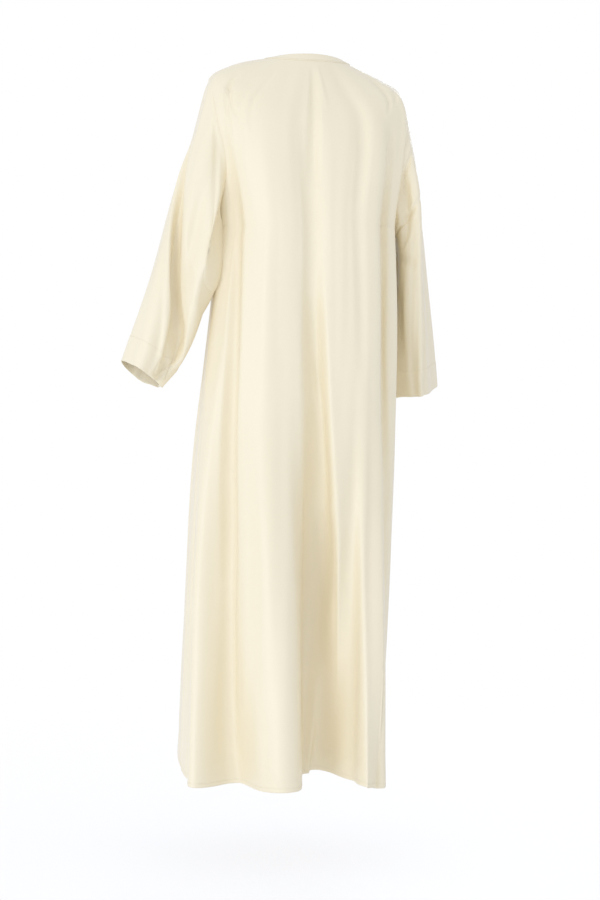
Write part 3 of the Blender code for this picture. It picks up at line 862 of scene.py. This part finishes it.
def thread_material():
    """Spun thread: thin twisted bands of tone along each stitch."""
    material = plain_material("cream_thread", (0.79, 0.71, 0.52, 1.0), 0.6)
    tree = material.node_tree
    place = add_node(tree, "ShaderNodeTexCoord").outputs["Object"]
    twist = add_node(tree, "ShaderNodeTexNoise", {"Vector": place, "Scale": 2500.0, "Detail": 1.0})
    ramp = add_node(tree, "ShaderNodeValToRGB", {"Fac": twist.outputs["Fac"]})
    ramp.color_ramp.elements[0].color = (0.70, 0.62, 0.45, 1.0)
    ramp.color_ramp.elements[1].color = (0.86, 0.78, 0.58, 1.0)
    tree.links.new(ramp.outputs["Color"], tree.nodes["Principled BSDF"].inputs["Base Color"])
    return material


def aim(thing, target):
    """Turns a camera or a lamp to look at a point."""
    thing.rotation_mode = "QUATERNION"
    thing.rotation_quaternion = (Vector(target) - thing.location).to_track_quat("-Z", "Y")


def set_camera():
    """The camera behind the cloak, level but for its small tilt and pan."""
    data = bpy.data.cameras.new("view")
    data.lens = CAMERA_LENS
    camera = bpy.data.objects.new("view", data)
    camera.location = (
        CAMERA_DISTANCE * math.sin(CAMERA_TURN), CAMERA_DISTANCE * math.cos(CAMERA_TURN), CAMERA_Z
    )
    heading = CAMERA_TURN - CAMERA_PAN
    ahead = Vector((-math.sin(heading), -math.cos(heading), -math.tan(CAMERA_TILT)))
    aim(camera, camera.location + ahead)
    bpy.context.scene.collection.objects.link(camera)
    bpy.context.scene.camera = camera


def key_light(name, turn, height):
    """A broad round lamp at a turn from the centre back and at a height, which looks at the cloak."""
    data = bpy.data.lights.new(name, "AREA")
    data.shape = "DISK"
    data.size = KEY_SIZE
    data.energy = KEY_POWER
    data.color = LIGHT_TINT
    lamp = bpy.data.objects.new(name, data)
    lamp.location = (KEY_DISTANCE * math.sin(turn), KEY_DISTANCE * math.cos(turn), height)
    aim(lamp, KEY_AIM)
    bpy.context.scene.collection.objects.link(lamp)


def set_backdrop():
    """A white backdrop for the camera. It lights the cloak less, and a little more from the key's side."""
    world = bpy.data.worlds.new("studio")
    bpy.context.scene.world = world
    world.use_nodes = True
    tree = world.node_tree
    sky = tree.nodes["Background"]
    seen = add_node(tree, "ShaderNodeBackground", {"Color": (1.0, 1.0, 1.0, 1.0), "Strength": 1.0})
    way = add_node(tree, "ShaderNodeTexCoord").outputs["Generated"]
    side = (math.sin(KEY_TURN), math.cos(KEY_TURN), 0.35)
    lean = add_node(tree, "ShaderNodeVectorMath", {0: way, 1: side}, operation="DOT_PRODUCT")
    strength = add_node(
        tree,
        "ShaderNodeMapRange",
        {
            "Value": lean.outputs["Value"],
            "From Min": -1.0,
            "From Max": 1.0,
            "To Min": SKY_DIM,
            "To Max": SKY_BRIGHT,
        },
    )
    sky.inputs["Color"].default_value = (*LIGHT_TINT, 1.0)
    tree.links.new(strength.outputs["Result"], sky.inputs["Strength"])
    path = add_node(tree, "ShaderNodeLightPath").outputs["Is Camera Ray"]
    blend = add_node(tree, "ShaderNodeMixShader", {0: path, 1: sky.outputs[0], 2: seen.outputs[0]})
    tree.links.new(blend.outputs[0], tree.nodes["World Output"].inputs["Surface"])


def set_floor():
    """A round white floor that is faintly there under the cloak and fades to nothing further out."""
    material = plain_material("pale_floor", (0.95, 0.95, 0.96, 1.0), 0.6)
    tree = material.node_tree
    place = add_node(tree, "ShaderNodeTexCoord").outputs["Object"]
    away = add_node(tree, "ShaderNodeVectorMath", {0: place}, operation="LENGTH").outputs["Value"]
    fade = add_node(
        tree,
        "ShaderNodeMapRange",
        {"Value": away, "From Min": 0.3, "From Max": 2.2, "To Min": 0.22, "To Max": 0.0},
    )
    tree.links.new(fade.outputs["Result"], tree.nodes["Principled BSDF"].inputs["Alpha"])
    mesh = bpy.data.meshes.new("floor")
    angles = np.linspace(0, 2 * np.pi, FLOOR_SIDES, endpoint=False)
    rim = np.stack([np.cos(angles), np.sin(angles), np.zeros(FLOOR_SIDES)], axis=-1) * FLOOR_REACH
    mesh.from_pydata(rim.tolist(), [], [list(range(FLOOR_SIDES))])
    mesh.materials.append(material)
    floor = bpy.data.objects.new("floor", mesh)
    floor.location = (0.0, 0.0, FLOOR_Z)
    bpy.context.scene.collection.objects.link(floor)


set_camera()
set_backdrop()
key_light("key", KEY_TURN, KEY_HEIGHT)
key_light("front_key", FRONT_KEY_TURN, FRONT_KEY_HEIGHT)
set_floor()
bpy.context.scene.view_settings.view_transform = "Standard"

crepe = crepe_material()
thread = thread_material()

back, back_normals = back_panel()
left, left_normals = front_panel(1)
right, right_normals = front_panel(-1)
hole_rows = slice(YOKE_ROWS, YOKE_ROWS + ARMHOLE_ROWS + 1)
left_hole = np.concatenate([back[hole_rows, 0], left[hole_rows, -1][-2:0:-1]])
right_hole = np.concatenate([back[hole_rows, -1], right[hole_rows, 0][-2:0:-1]])
left_arm, left_arm_normals = sleeve(
    1, left_hole, LEFT_CUFF, LEFT_RUN, LEFT_SLEEVE_FOLDS, LEFT_SLEEVE_CREASES
)
right_arm, right_arm_normals = sleeve(
    -1, right_hole, RIGHT_CUFF, RIGHT_RUN, RIGHT_SLEEVE_FOLDS, RIGHT_SLEEVE_CREASES
)
band, band_normals = neck_band()

# Each piece's cut: the width and length of the cloth that it comes from, and its area
CUTS = {
    "back": (back, False, (0.86, 1.47), 0.98),
    "front_left": (left, False, (0.48, 1.45), 0.50),
    "front_right": (right, False, (0.46, 1.45), 0.47),
    "sleeve_left": (left_arm, True, (0.48, 0.64), 0.22),
    "sleeve_right": (right_arm, True, (0.48, 0.64), 0.22),
    "neck_band": (band, False, (0.62, 0.03), None),
}
for node, (points, closed, flat, area) in CUTS.items():
    piece = cloth_piece(node + "_cloth", points, closed, crepe)
    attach(piece, "root")
    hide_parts(node)

# Stitch rows along the hem, which stop short of the facings, round both cuffs and under the neckline
hem_row = HEM_START + stitched_row(HEM_DEPTH, HEM_STITCH)
cuff_row = len(SLEEVE_START) + SLEEVE_ROWS + stitched_row(CUFF_DEPTH, CUFF_STITCH)
facing = len(FACING_SHARES) + 1
hem_paths = [
    (back[hem_row], back_normals[hem_row]),
    (left[hem_row, facing:], left_normals[hem_row, facing:]),
    (right[hem_row, :-facing], right_normals[hem_row, :-facing]),
]
sewn = [
    stitches("hem_stitches", hem_paths, thread),
    stitches("cuff_stitches_left", [(left_arm[cuff_row], left_arm_normals[cuff_row])], thread),
    stitches("cuff_stitches_right", [(right_arm[cuff_row], right_arm_normals[cuff_row])], thread),
    stitches("neck_stitches", [(band[BAND_STITCH_ROW], band_normals[BAND_STITCH_ROW])], thread),
]
for piece in sewn:
    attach(piece, "root")
